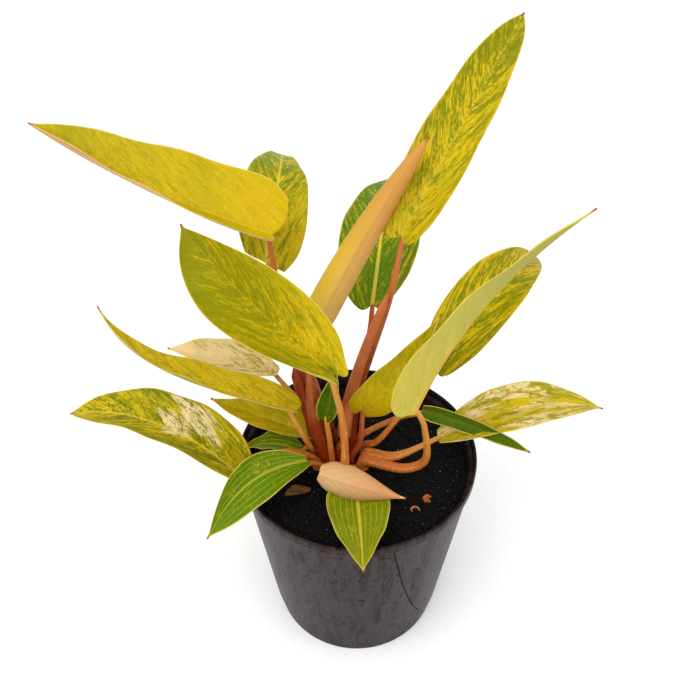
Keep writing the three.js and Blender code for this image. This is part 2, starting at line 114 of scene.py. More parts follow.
LEAVES = (
    Leaf("left_gold", "leaf_gold", (8, 155, 2.7), ((-16, 9, 42), (-28, 19, 86)), (-32.9, 36.3, 128),
         (-156.7, 75.1, 169.5), 53.1, -1, -12, -0.9, -6.5, 31.1, 20.7, 3, 0.17, 0.68,
         Look(0.5, 0.5, 0.6, along=1.2, rib=0.1, under="under_pink"), sheath=3),
    Leaf("back_left", "leaf_green", (8, 110, 2.3), ((-10, 14, 30), (-24, 30, 70)), (-39, 43.6, 105.9),
         (-37.1, 147.3, 111.1), 39.7, 23.1, 9.9, 24.2, -4.7, -4, 5, 0.2, 0.22, 1.29,
         Look(0.55, 0.9, along=0.5, across=-0.3, rib=0.6, dark="green")),
    Leaf("left_broad", "leaf_green", (14.5, 279, 2.7), ((3, -18, 14), (2, -18, 48)), (-2.2, -25.5, 89.7),
         (-75.9, 23.4, 142), 50.7, -38, 26.8, 12.4, -2.8, 30, 28.4, 5.6, 0.43, 0.91,
         Look(0.68, 0.8, 0.45, along=0.7, across=-0.6, rib=0.06)),
    Leaf("rolled_young", "leaf_gold", (8, 200, 2.7), ((-13, -1, 34), (-15, 3, 66)), (-13.5, 4.2, 90.5),
         (43.2, 47.8, 175.3), 33, -139.4, 4.6, 2.4, 2.3, 8.4, 100, 0, 0.11, 0.58,
         Look(0.25, 0.3, 0.8, along=0.2, under="under_gold"), ripple=0.3, sheath=2.7, spine=0.4),
    Leaf("right_tall", "leaf_gold", (8, 60, 2.7), ((8, 13, 40), (26, 20, 100)), (31.2, 33.9, 128.5),
         (94.6, 115.5, 210.2), 34.7, 5.8, -1.7, 8.6, 3.5, 7.9, 29.1, 3.4, 0.28, 0.55,
         Look(0.52, 0.9, 0.2, along=0.5, rib=0.2), sheath=2.4),
    Leaf("back_middle", "leaf_green", (14.5, 80, 2.4), ((6, 19, 30), (16, 29, 66)), (17.8, 35.4, 84.2),
         (28.9, 147.2, 97.5), 46.6, -2.9, -8.1, 12, 2.1, 5.8, 13.8, 4.6, 0.33, 1.05,
         Look(0.72, 1, rib=0.8, dark="green")),
    Leaf("right_speckled", "leaf_gold", (14.5, 17, 2.1), ((20, 1, 12), (31, 1, 30)), (52.4, 6.8, 63),
         (114.8, 74.1, 85.9), 40.8, 26.9, -15.2, 28.7, -6.5, 24.4, 27.1, 4, 0.26, 0.98,
         Look(0.52, 0.9, 0.1, rib=0.15)),
    Leaf("right_inner", "leaf_gold", (8, 330, 2.2), ((11, -2, 14),), (11.8, 6.1, 30.9), (50.4, -1.2, 106.6),
         24, 89.5, 9.6, 9.7, -0.5, 1, 5.9, 2.4, 0.25, 1.23, Look(0.45, 0.5, 0.5, along=0.8, rib=0.1)),
    Leaf("right_long", "leaf_green", (14.5, 330, 2.9), ((36, -14, 7), (46, -14, 12), (44.5, -18.5, 44)),
         (36.2, -31.4, 69.4), (107.3, -18.6, 176.7), 39, -53, -3, 8.9, -0.9, 9.4, 23, 3.8, 0.1, 1.3,
         Look(0.5, 0.7), sheath=0.4),
    Leaf("right_low", "leaf_cream", (14.5, 353, 2.2), ((30, -7, 9),), (54.8, -1.8, 18.7),
         (150.1, 15.7, 24.3), 31.1, 24.2, 2.5, 11.6, -4.5, 23.6, 16.8, 0.1, 0.43, 1.15,
         Look(0.5, 0.6, 0.3, 0.5, rib=0.15, comb=0.28), sheath=1.1, parallel=True),
    Leaf("right_thin", "leaf_green", (14.5, 42, 2), ((30, 18, 12),), (45.6, 3.1, 35.3), (99.5, -26.6, 34.6),
         10, 57.4, 5.7, -8.5, 0.4, 2.7, 28.2, 0, 0.18, 0.59, Look(0.98, 1.2, rib=0.05, dark="green")),
    Leaf("left_narrow", "leaf_green", (14.5, 187, 2.2), ((-17, -6, 18),), (-24, -5.8, 45.4),
         (-131.7, 16.6, 74.7), 32.6, 23.6, -5, -2.1, -2.2, 17.9, 10, 3, 0.28, 1.05,
         Look(0.4, 0.6, rib=0.15), hook=20),
    Leaf("left_olive", "leaf_green", (14.5, 141, 2), (), (-17.8, 3.8, 16.8), (-73.6, 19.1, 28.7), 22.9,
         -27.9, 25.5, -0.5, 0.4, 22.6, 24.1, 6.6, 0.18, 0.87, Look(0.5, 0.5, 0.4, rib=0.2)),
    Leaf("left_cream", "leaf_cream", (14.5, 118, 2), ((-22, 23, 20),), (-36.5, 33.2, 36.2),
         (-102.4, 52.4, 37.9), 28.4, -21.5, -6.8, -1.3, 0.4, 32.6, 26.1, 1.3, 0.41, 1.07,
         Look(0.62, 0.55, 0.2, 0.85, along=-0.4, rib=0.1)),
    Leaf("left_low", "leaf_cream", (14.5, 210, 2.3), ((-30, -15, 22),), (-52.2, -32.4, 23.5),
         (-148.4, 3.5, 32.7), 43.6, 7.4, 11.8, 13.6, 1.9, 2.7, 41.3, 0, 0.25, 0.58,
         Look(0.48, 1, 0.2, 0.9, (0.33, 0.75, 2), rib=0.5)),
    Leaf("left_striped", "leaf_green", (14.5, 233, 2.2), (), (-17.3, -17.5, 17.1), (-66.1, -64.1, 11.3),
         27.5, -41, 19.2, 2.6, 10.1, 8.2, 42.5, 1, 0.47, 1.01, Look(0.92, 1, 0.7, veins=0.45, dark="green"),
         parallel=True),
    Leaf("left_under", "leaf_green", (14.5, 164, 1.9), (), (-22, -3, 8), (-55, -4, 12), 20, 10, 0, 5, 0, 10,
         15, 4, 0.3, 1.15, Look(0.9, 1, 0.7, veins=0.4, dark="green"), parallel=True),
    Leaf("cream_young", "leaf_cream", (14.5, 256, 2.1), (), (-10.5, -27.6, 19.1), (35.2, -40, 13.4), 25.5,
         219.5, 2.5, 0.5, -0.8, 16.1, 53.1, 0.5, 0.27, 1.48,
         Look(0.2, 0.3, 0.8, 1.2, rib=0, veins=0, under="under_pink"), ripple=0.3, spine=0.15),
    Leaf("front_small", "leaf_green", (14.5, 302, 2.1), ((8, -22, 4),), (9.3, -28.3, 3.3), (12, -93, 27),
         35, 2.3, -4.6, -1.8, -0.4, 8, 15.3, 3.5, 0.2, 1.12,
         Look(0.95, 0.9, 0.9, along=-0.3, rib=0.6, veins=0.5, dark="green"), parallel=True),
    Leaf("centre_small", "leaf_green", (8, 237, 1.9), (), (-8, -4, 36), (-1, -6, 74), 12, 95, 0, 0, 0, 12,
         10, 2, 0.28, 1.15, Look(0.97, 1.2, rib=0.05, dark="green")),
)


# ---- colours and sizes a user would change ----
def linear(code):
    """The linear colour of a hexadecimal sRGB code."""
    parts = [int(code[i:i + 2], 16) / 255 for i in (1, 3, 5)]
    return tuple(p / 12.92 if p <= 0.04045 else ((p + 0.055) / 1.055) ** 2.4 for p in parts)


def colour(name, description, code):
    return FloatVectorProperty(
        name=name, description=description, default=linear(code), min=0, max=1, size=3, subtype="COLOR",
    )


def length(name, description, millimetres):
    return FloatProperty(name=name, description=description, default=millimetres * MM, min=0, unit="LENGTH")


class PlantColours(bpy.types.PropertyGroup):
    """Colours of the plant, the pot and the soil."""
    yellow: colour("Leaf yellow", "Light areas of the blades", "#C9AA05")
    fleck: colour("Leaf fleck", "Pale flecks in the yellow areas", "#E6D24A")
    green: colour("Leaf green", "Dark areas of the green blades", "#587A08")
    olive: colour("Leaf olive", "Dark flecks of the yellow blades", "#727A05")
    cream: colour("Leaf cream", "Pale areas of the variegated blades", "#E4CC98")
    rib: colour("Midrib", "Midrib on the upper side", "#DDC443")
    margin: colour("Blade margin", "Thin pale edge of the blades", "#D9BE55")
    tip: colour("Blade tip", "Dry point of the blades", "#96502F")
    under_green: colour("Green underside", "Underside of the green blades", "#BBAC48")
    under_gold: colour("Gold underside", "Underside of the rolled young blade", "#CFA458")
    under_pink: colour("Pink underside", "Underside of the pink-backed blades", "#D2A878")
    under_end: colour("Underside end", "Underside towards the point", "#8E9046")
    petiole_low: colour("Petiole foot", "Petioles at the crown", "#7C2502")
    petiole_high: colour("Petiole top", "Petioles below the blade", "#B45F26")
    petiole_pale: colour("Pale petiole", "Petioles of the small leaves", "#C8893A")
    husk: colour("Husk", "Dry husks along the petioles", "#C06E3C")
    pot: colour("Pot plastic", "Moulded plastic of the pot", "#201314")
    soil: colour("Soil", "Moist peat", "#060505")
    crumb: colour("Soil crumb", "Lighter crumbs and fibres", "#1A120D")


class PlantSizes(bpy.types.PropertyGroup):
    """Sizes of the fine shape."""
    blade_thickness: length("Blade thickness", "Thickness of a blade between its veins", 0.5)
    vein_pitch: length("Vein pitch", "Distance between the main side veins along the midrib", 6.5)
    vein_depth: length("Vein depth", "Depth of the furrows over the side veins", 0.12)
    rib_height: length("Midrib height", "Height of the midrib under the blade at its neck", 1.4)
    panel_step: length("Panel step", "Step at the edge of the pot's raised panels", 0.9)
    crumb_size: length("Crumb size", "Mean size of the soil crumbs", 1.1)
    crumb_density: FloatProperty(
        name="Crumb density", description="Soil crumbs on each square metre", default=260000, min=0,
    )
    seed: IntProperty(name="Seed", description="Seed of the scattered crumbs", default=4, min=0)


class StageSettings(bpy.types.PropertyGroup):
    """Camera, floor and light."""
    camera_side: length("Camera side", "Camera's place along X", -4.2)
    camera_back: length("Camera distance", "Camera's distance in front of the pot", 303.7)
    camera_height: length("Camera height", "Camera's height over the floor", 472.0)
    camera_pitch: FloatProperty(
        name="Camera pitch", description="How far the camera looks down", default=math.radians(41.3),
        subtype="ANGLE",
    )
    lens: FloatProperty(name="Lens", description="Focal length", default=41.14, min=1, unit="CAMERA")
    floor: colour("Floor", "Pale floor", "#FCFCFC")
    sky: FloatProperty(name="Sky strength", description="Soft light all round", default=1.04, min=0)
    key: FloatProperty(name="Key light", description="Power of the large lamp", default=7, unit="POWER")
    fill: FloatProperty(name="Fill light", description="Power of the side lamp", default=2, unit="POWER")


# ---- node trees ----
def wire(tree, kind, inputs=None, out=0, **settings):
    """Adds a node, sets or links its inputs by name or number, and returns one of its outputs."""
    made = tree.nodes.new(kind)
    for name, value in settings.items():
        setattr(made, name, value)
    for key, value in (inputs or {}).items():
        if isinstance(value, bpy.types.NodeSocket):
            tree.links.new(value, made.inputs[key])
        else:
            made.inputs[key].default_value = value
    return made.outputs[out]


def maths(tree, operation, a, b=0.0):
    return wire(tree, "ShaderNodeMath", {0: a, 1: b}, operation=operation)


def vector_maths(tree, operation, a, b):
    return wire(tree, "ShaderNodeVectorMath", {0: a, 1: b}, operation=operation)


def new_tree(name, inputs, output):
    """A geometry tree with named inputs, and the outputs of its input node."""
    tree = bpy.data.node_groups.new(name, "GeometryNodeTree")
    for key, kind in inputs.items():
        tree.interface.new_socket(key, in_out="INPUT", socket_type=f"NodeSocket{kind}")
    tree.interface.new_socket(output, in_out="OUTPUT", socket_type="NodeSocketGeometry")
    return tree, tree.nodes.new("NodeGroupInput").outputs


def end_tree(tree, mesh, material):
    """Realizes the mesh, gives it its material and joins it to the tree's output."""
    real = wire(tree, "GeometryNodeRealizeInstances", {0: mesh})
    smooth = wire(tree, "GeometryNodeSetShadeSmooth", {0: real})
    done = wire(tree, "GeometryNodeSetMaterial", {0: smooth, 2: material})
    tree.links.new(done, tree.nodes.new("NodeGroupOutput").inputs[0])
    return tree


class Finish:
    """A material being built, with short calls for the nodes that its finishes share."""

    def __init__(self, name, **uniform):
        self.material = bpy.data.materials.new(name)
        self.material.use_nodes = True
        self.tree = self.material.node_tree
        self.shader = self.tree.nodes["Principled BSDF"]
        for socket, value in uniform.items():
            self.shader.inputs[socket.replace("_", " ")].default_value = value

    def uv(self, name):
        """The two coordinates of a UV map."""
        uv_map = wire(self.tree, "ShaderNodeUVMap", uv_map=name)
        split = wire(self.tree, "ShaderNodeSeparateXYZ", {0: uv_map}).node
        return split.outputs[0], split.outputs[1]

    def place(self):
        """Object coordinates."""
        return wire(self.tree, "ShaderNodeTexCoord", out=3)

    def attribute(self, name):
        return wire(self.tree, "ShaderNodeAttribute", out=2, attribute_name=name)

    def vector(self, x, y, z=0.0):
        return wire(self.tree, "ShaderNodeCombineXYZ", {0: x, 1: y, 2: z})

    def noise(self, vector, scale, detail=2.0, rough=0.5, distortion=0.0):
        values = {0: vector, 2: scale, 3: detail, 4: rough, 8: distortion}
        return wire(self.tree, "ShaderNodeTexNoise", values)

    def drawn(self, share, *pattern):
        """Noise drawn out along Z."""
        place = wire(self.tree, "ShaderNodeMapping", {0: self.place(), 3: (1.0, 1.0, share)})
        return self.noise(place, *pattern)

    def math(self, operation, a, b=0.0):
        return maths(self.tree, operation, a, b)

    def times(self, a, b):
        return self.math("MULTIPLY", a, b)

    def ramp(self, value, low, high, start=0.0, end=1.0):
        """Start below low, end above high, and a smooth change between."""
        values = {0: value, 1: low, 2: high, 3: start, 4: end}
        return wire(self.tree, "ShaderNodeMapRange", values, interpolation_type="SMOOTHSTEP")

    def mix(self, share, a, b):
        """A colour between a and b."""
        values = {0: share, 6: opaque(a), 7: opaque(b)}
        return wire(self.tree, "ShaderNodeMix", values, out=2, data_type="RGBA")

    def total(self, *terms):
        """The sum of (value, weight) pairs."""
        result = 0.0
        for value, weight in terms:
            result = self.math("ADD", self.times(value, weight), result)
        return result

    def finish(self, base, rough, height, distance, strength=1.0):
        """Joins the colour, roughness and bump to the shader."""
        bump = wire(self.tree, "ShaderNodeBump", {0: strength, 1: distance, 3: height})
        for name, value in (("Base Color", base), ("Normal", bump)):
            self.tree.links.new(value, self.shader.inputs[name])
        if isinstance(rough, bpy.types.NodeSocket):
            self.tree.links.new(rough, self.shader.inputs["Roughness"])
        else:
            self.shader.inputs["Roughness"].default_value = rough
        return self.material


def shade_of(value, share):
    """A colour with each part multiplied by a share."""
    return tuple(share * part for part in value)


def opaque(value):
    return value if isinstance(value, bpy.types.NodeSocket) else (*value[:3], 1.0)


# ---- materials ----
def leaf_finish(leaf, colours, index):
    """A mottled blade: yellow, green and cream flecks drawn out along the veins."""
    look = leaf.look
    f = Finish(f"blade {leaf.name}", Specular_IOR_Level=0.07)
    run, origin = f.uv("veins")
    run = f.times(run, look.comb)
    across, along = f.uv("blade")
    seed = index * 1.7

    def mottle(stretch, offset, *pattern):
        """Noise drawn out along the veins."""
        return f.noise(f.vector(f.times(run, stretch), origin, seed + offset), *pattern)

    flecks = mottle(1.0, 0, 560.0, 4.0, 0.7, 1.1)
    clouds = mottle(0.9, 3, 150.0, 4.0, 0.7)
    patches = mottle(0.8, 7, 36.0)
    slope = 0.2
    blotch = f.total(
        (flecks, 0.52), (clouds, 0.48), (patches, 0.15),
        (along, slope * look.along), (across, slope * look.across),
    )
    middle = 0.575 + slope / 2 * (look.along + look.across) + 0.27 * (0.5 - look.green)
    width = 0.02 + 0.14 * look.soft
    green_share = f.ramp(blotch, middle - width, middle + width, 0.0, min(look.depth, 1.0))
    haze = f.ramp(clouds, 0.3, 0.7, 0.0, 0.25 * look.depth)
    green_share = f.math("MAXIMUM", green_share, haze)
    green = shade_of(getattr(colours, look.dark), max(look.depth, 1.0) ** -3)
    threads = mottle(0.9, 11, 700.0, 3.0, 0.65, 1.0)
    crisp = 1 - 0.9 * look.soft
    light = f.mix(f.ramp(threads, 0.52, 0.66, 0.0, 0.85 * crisp), colours.yellow, colours.fleck)
    dark = f.mix(f.ramp(threads, 0.4, 0.54, 0.7 * crisp, 0.0), green, shade_of(green, 0.5))
    base = f.mix(green_share, light, dark)
    base = cream_areas(f, look, base, colours.cream, blotch, mottle)
    shade = f.noise(f.place(), 45.0, 2.0)
    base = f.mix(f.ramp(shade, 0.4, 0.8, 0.0, 0.25), base, colours.green)
    distance = f.attribute("aside")
    rib_width = f.ramp(along, 0.0, 1.0, 0.8 * MM, 0.15 * MM)
    rib = f.ramp(f.math("SUBTRACT", distance, rib_width), 0.0, 0.4 * MM, 1.0, 0.0)
    base = f.mix(f.times(rib, look.rib), base, colours.rib)
    vein = side_veins(f, origin)
    faint = f.ramp(clouds, 0.35, 0.62, 0.3, 1.0)
    base = f.mix(f.times(f.times(vein, faint), look.veins), base, colours.rib)
    under = getattr(colours, look.under)
    mottled = f.mix(f.times(green_share, 0.35), under, green)
    below = f.mix(f.times(rib, 0.6 if look.under == "under_green" else 0.0), mottled, colours.petiole_pale)
    if look.under == "under_gold":
        inner = f.times(f.ramp(across, 0.44, 0.6), f.ramp(along, 0.35, 0.85, 0.6, 0.2))
        below = f.mix(inner, below, colours.yellow)
    below = f.mix(f.times(vein, 0.12), below, colours.margin)
    end = colours.under_end if look.under == "under_green" else colours.petiole_high
    below = f.mix(f.ramp(along, 0.1, 0.85, 0.0, 0.75 if look.under == "under_green" else 0.45), below, end)
    base = f.mix(f.attribute("upper"), below, base)
    base = f.mix(f.ramp(f.attribute("edge"), 0.2 * MM, 0.7 * MM, 0.75, 0.0), base, colours.margin)
    base = f.mix(f.ramp(along, 0.965, 0.995), base, colours.tip)
    grain = mottle(1.0, 0, 2600.0)
    rough = f.total((grain, 0.12), (green_share, -0.06), (0.4, 1.0))
    height = f.total((vein, -0.3), (grain, 0.2), (flecks, 0.6))
    return f.finish(base, rough, height, 0.35 * MM, 0.6)


def cream_areas(f, look, base, cream, blotch, mottle):
    """Pale areas without green, kept to a spot given by its place along, across and its tightness."""
    if not look.cream:
        return base
    across, along = f.uv("blade")
    pale = mottle(0.5, 20, 60.0 / look.comb ** 0.5, 3.0, 0.6)
    place_along, place_across, tightness = look.spot
    off_along = f.times(f.math("SUBTRACT", along, place_along), 2.0)
    off_across = f.math("SUBTRACT", across, place_across)
    away = f.total((f.times(off_along, off_along), 1.0), (f.times(off_across, off_across), 1.0))
    inside = f.math("SUBTRACT", pale, f.times(away, tightness))
    level = 0.66 - 0.36 * look.cream
    hidden = f.times(f.ramp(inside, level - 0.04, level + 0.04), f.ramp(blotch, 0.62, 0.56))
    return f.mix(hidden, base, cream)


def side_veins(f, origin):
    """Thin lines where the side veins run, 1 on a vein and 0 between."""
    turn = 2 * math.pi / (sizes().vein_pitch / 2)
    wave = f.math("COSINE", f.times(origin, turn))
    return f.ramp(wave, 0.84, 1.0)


def stalk_finish(name, low, high, streak):
    """A fleshy stalk, darker and redder at its foot, with fine lengthwise streaks."""
    f = Finish(name, Specular_IOR_Level=0.25, Coat_Weight=0.04, Coat_Roughness=0.25)
    along = f.attribute("along")
    lines = f.drawn(0.12, 900.0, 3.0, 0.6)
    blush = f.noise(f.place(), 110.0, 3.0, 0.6)
    base = f.mix(f.ramp(f.total((along, 1.0), (blush, 0.5)), 0.4, 1.25), low, high)
    base = f.mix(f.times(f.ramp(lines, 0.5, 0.75), 0.45), base, streak)
    flecks = f.noise(f.place(), 1600.0, 2.0)
    base = f.mix(f.ramp(flecks, 0.68, 0.78, 0.0, 0.4), base, shade_of(low, 0.4))
    rough = f.total((blush, 0.15), (0.3, 1.0))
    height = f.total((lines, 0.7), (flecks, 0.3))
    return f.finish(base, rough, height, 0.3 * MM, 0.5)


def husk_finish(colours):
    """Papery brown-pink tissue with lengthwise fibres."""
    f = Finish("dry husk", Specular_IOR_Level=0.3)
    fibres = f.drawn(0.1, 1100.0, 3.0, 0.65)
    blotch = f.noise(f.place(), 160.0, 3.0, 0.6)
    base = f.mix(f.ramp(blotch, 0.35, 0.7), colours.husk, colours.petiole_high)
    base = f.mix(f.ramp(fibres, 0.5, 0.8, 0.0, 0.4), base, colours.petiole_low)
    rough = f.total((fibres, 0.2), (0.45, 1.0))
    return f.finish(base, rough, fibres, 0.3 * MM, 0.6)


def pot_finish(colours):
    """Smooth moulded plastic with flow lines, scuffs, painted shade as a dark line along the step of the
    first raised panel, and splashed dust.
    """
    f = Finish("pot plastic", Coat_Weight=0.03, Coat_Roughness=0.15, Specular_Tint=(1.0, 0.86, 0.84, 1.0))
    flow = f.drawn(0.09, 110.0, 3.0, 0.58, 0.6)
    scuffs = f.drawn(0.4, 480.0, 3.0, 0.65, 1.5)
    dust = f.noise(f.place(), 1500.0, 2.0, 0.6)
    grey = shade_of(colours.pot, 1.35)
    base = f.mix(f.ramp(flow, 0.4, 0.68), colours.pot, grey)
    base = f.mix(f.ramp(scuffs, 0.55, 0.75, 0.0, 0.35), base, shade_of(colours.pot, 2.6))
    # darker plastic for the dust, smudges and scratches, and for the painted shade along the panel step
    dark = shade_of(colours.pot, 0.2)
    base = f.mix(f.ramp(dust, 0.68, 0.76, 0.0, 0.9), base, dark)
    marks = f.drawn(0.7, 120.0, 4.0, 0.7, 2.5)
    smudge = f.ramp(marks, 0.53, 0.66)
    base = f.mix(f.times(smudge, 0.9), base, dark)
    scratches = f.drawn(0.05, 520.0, 2.0, 0.6)
    base = f.mix(f.ramp(scratches, 0.56, 0.72, 0.0, 0.7), base, dark)
    # painted shade: a dark line along the step at the first raised panel's outline, which also roughens and
    # dents the surface there
    outline = f.math("ABSOLUTE", f.attribute("panel_edge"))
    step_shade_line = f.ramp(outline, 0.2 * MM, 0.55 * MM, 1.0, 0.0)
    base = f.mix(step_shade_line, base, dark)
    rough = f.total((flow, 0.5), (scuffs, 0.2), (step_shade_line, 0.3), (0.05, 1.0))
    height = f.total((flow, 0.5), (scuffs, 0.2), (scratches, 0.2), (step_shade_line, -0.4))
    gloss = f.total((f.ramp(flow, 0.36, 0.66), 0.17), (f.ramp(scuffs, 0.45, 0.65), 0.06), (0.04, 1.0))
    gloss = f.times(gloss, f.total((smudge, -0.6), (f.ramp(scratches, 0.56, 0.72), -0.3), (1.0, 1.0)))
    f.tree.links.new(gloss, f.shader.inputs["Specular IOR Level"])
    return f.finish(base, rough, height, 1.0 * MM, 0.4)


def soil_finish(name, dark, light, specular=0.12):
    """Moist peat: dark grains mottled with a lighter colour, and darker lumps."""
    f = Finish(name, Specular_IOR_Level=specular)
    place = f.place()
    grains = f.noise(place, 700.0, 4.0, 0.7)
    lumps = f.noise(place, 120.0, 3.0, 0.6)
    base = f.mix(f.ramp(grains, 0.48, 0.8), dark, light)
    base = f.mix(f.ramp(lumps, 0.4, 0.75, 0.0, 0.6), base, shade_of(dark, 0.5))
    rough = f.total((grains, 0.4), (0.55, 1.0))
    return f.finish(base, rough, f.total((grains, 0.7), (lumps, 0.3)), 0.8 * MM)


# ---- meshes ----
def sizes():
    return bpy.context.scene.philodendron_sizes


def colours_of():
    return bpy.context.scene.philodendron_colours


def link(name, data):
    """A new object in the scene."""
    made = bpy.data.objects.new(name, data)
    bpy.context.scene.collection.objects.link(made)
    return made


def new_mesh(name, points, faces):
    """An object at the origin with its place in its mesh."""
    mesh = bpy.data.meshes.new(name)
    mesh.from_pydata([tuple(map(float, point)) for point in points], [], faces)
    mesh.validate()
    mesh.polygons.foreach_set("use_smooth", [True] * len(mesh.polygons))
    return link(name, mesh)


def settle(piece, material, slot, *nodes):
    """Gives a piece its material and its body, and hides the nodes that it stands for; the slot is not used.
    """
    piece.data.materials.clear()
    piece.data.materials.append(material)
    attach(piece, "root")
    if nodes:
        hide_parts(*nodes)


def store_uv(mesh, name, values):
    """Writes a UV map from one pair of numbers for each vertex."""
    corners = np.empty(len(mesh.loops), np.int32)
    mesh.loops.foreach_get("vertex_index", corners)
    mesh.uv_layers.new(name=name).data.foreach_set("uv", values[corners].astype(np.float32).ravel())


def store_value(mesh, name, values):
    mesh.attributes.new(name, "FLOAT", "POINT").data.foreach_set("value", values.astype(np.float32))


def grid_faces(rows, columns, start=0, flip=False, closed=False):
    """Quads over a grid of rows x columns points; a closed grid joins its last column to its first."""
    faces = []
    span = columns if closed else columns - 1
    for row in range(rows - 1):
        for column in range(span):
            after = (column + 1) % columns
            quad = [start + row * columns + column, start + row * columns + after,
                    start + (row + 1) * columns + after, start + (row + 1) * columns + column]
            faces.append(quad[::-1] if flip else quad)
    return faces


def plain_mesh(piece):
    """Turns a piece with modifiers into a plain mesh object of the same name."""
    evaluated = piece.evaluated_get(bpy.context.evaluated_depsgraph_get())
    mesh = bpy.data.meshes.new_from_object(evaluated)
    name = piece.name
    bpy.data.objects.remove(piece)
    mesh.name = name
    return link(name, mesh)


def shell_faces(rows, columns):
    """Faces of a closed sheet: an upper grid, a lower grid and the rim between them."""
    count = rows * columns
    rim = [row * columns for row in range(rows)]
    rim += [rim[-1] + step for step in range(1, columns)]
    rim += [row * columns + columns - 1 for row in range(rows - 2, -1, -1)] + list(range(columns - 2, 0, -1))
    faces = grid_faces(rows, columns) + grid_faces(rows, columns, count, True)
    return faces + [[near, far, far + count, near + count] for near, far in zip(rim, rim[1:] + rim[:1])]


def tube_faces(rows, columns):
    """Faces of a tube with a flat cap at each end."""
    caps = [list(range(columns))[::-1], list(range((rows - 1) * columns, rows * columns))]
    return grid_faces(rows, columns, closed=True) + caps


def turned(radius, turn, height):
    """Points at a radius, a turn about Z and a height."""
    return np.stack([radius * np.cos(turn), radius * np.sin(turn), height + 0 * turn], axis=-1)


def path_axes(path, beside):
    """Unit vectors aside from a path and facing out of it."""
    ahead = np.gradient(path, axis=0)
    ahead /= np.linalg.norm(ahead, axis=1, keepdims=True)
    aside = np.cross(ahead, beside)
    aside /= np.linalg.norm(aside, axis=1, keepdims=True)
    return aside, np.cross(aside, ahead)


# ---- blades ----
BLADE_ROWS = 90
BLADE_COLUMNS = 41
BASE_START = 0.12
TIP_WIDTH = 0.15
POINT_LENGTH = 0.04


def unit(vector):
    return vector / np.linalg.norm(vector)


def half_width(leaf, along):
    """Half the blade's width in millimetres: round at the neck and drawn out to the tip."""
    swell = leaf.taper * (leaf.widest + BASE_START) / (1 - leaf.widest)
    shape = (along + BASE_START) ** swell * np.maximum(1 - along, 0) ** leaf.taper
    most = (leaf.widest + BASE_START) ** swell * (1 - leaf.widest) ** leaf.taper
    near_base = np.clip(along / 0.12, 0, 1)
    rounded = 1 - 0.22 * (1 - near_base) ** 2
    pointed = 1 - np.exp((along - 1) / POINT_LENGTH)
    return np.maximum(leaf.width / 2 * shape / most * rounded * pointed, TIP_WIDTH)


def blade_axes(leaf):
    """The blade's neck, its length and the unit vectors ahead, aside and up, rolled about ahead."""
    neck = np.array(leaf.neck, float)
    chord = np.array(leaf.tip, float) - neck
    span = np.linalg.norm(chord)
    ahead = chord / span
    level = unit(np.array([0, 0, 1.0]) - ahead[2] * ahead)
    roll = math.radians(leaf.roll)
    up = math.cos(roll) * level + math.sin(roll) * np.cross(ahead, level)
    return neck, span, ahead, np.cross(ahead, up), up


def blade_surface(leaf, along, across):
    """Points of the blade's upper side, in millimetres from the crown's base."""
    neck, span, ahead, side, up = blade_axes(leaf)
    bow = 4 * along * (1 - along)
    half = half_width(leaf, along)
    reach = np.abs(across)
    fold, curl = math.radians(leaf.fold), math.radians(leaf.curl)
    out = half * (np.sin(fold + curl * reach) - math.sin(fold)) / curl * np.sign(across)
    lift = half * (math.cos(fold) - np.cos(fold + curl * reach)) / curl
    twist = math.radians(leaf.twist) * (2 * along - 1)
    lobe = leaf.lobe * np.sin(math.pi * reach ** 0.9) * (1 - along) ** 4
    rise = leaf.arch * bow + leaf.hook * along ** 6
    rise = rise + leaf.ripple * reach ** 3 * np.sin(19 * along + 3 * across + leaf.width) * bow
    ahead_by = span * along - lobe
    aside_by = leaf.sweep * bow + out * np.cos(twist) - lift * np.sin(twist)
    up_by = rise + out * np.sin(twist) + lift * np.cos(twist)
    return (neck + ahead_by[..., None] * ahead + aside_by[..., None] * side + up_by[..., None] * up)


def vein_places(leaf, along, across):
    """Each point's place along its side vein, and where that vein starts, both in metres."""
    _, span, *_ = blade_axes(leaf)
    out = across * half_width(leaf, along)
    if leaf.parallel:
        return span * along * MM, across * leaf.width / 2 * MM
    reach = np.abs(out)
    return out * MM, (span * along - reach * (1.3 + 1.6 * reach / leaf.width)) * MM


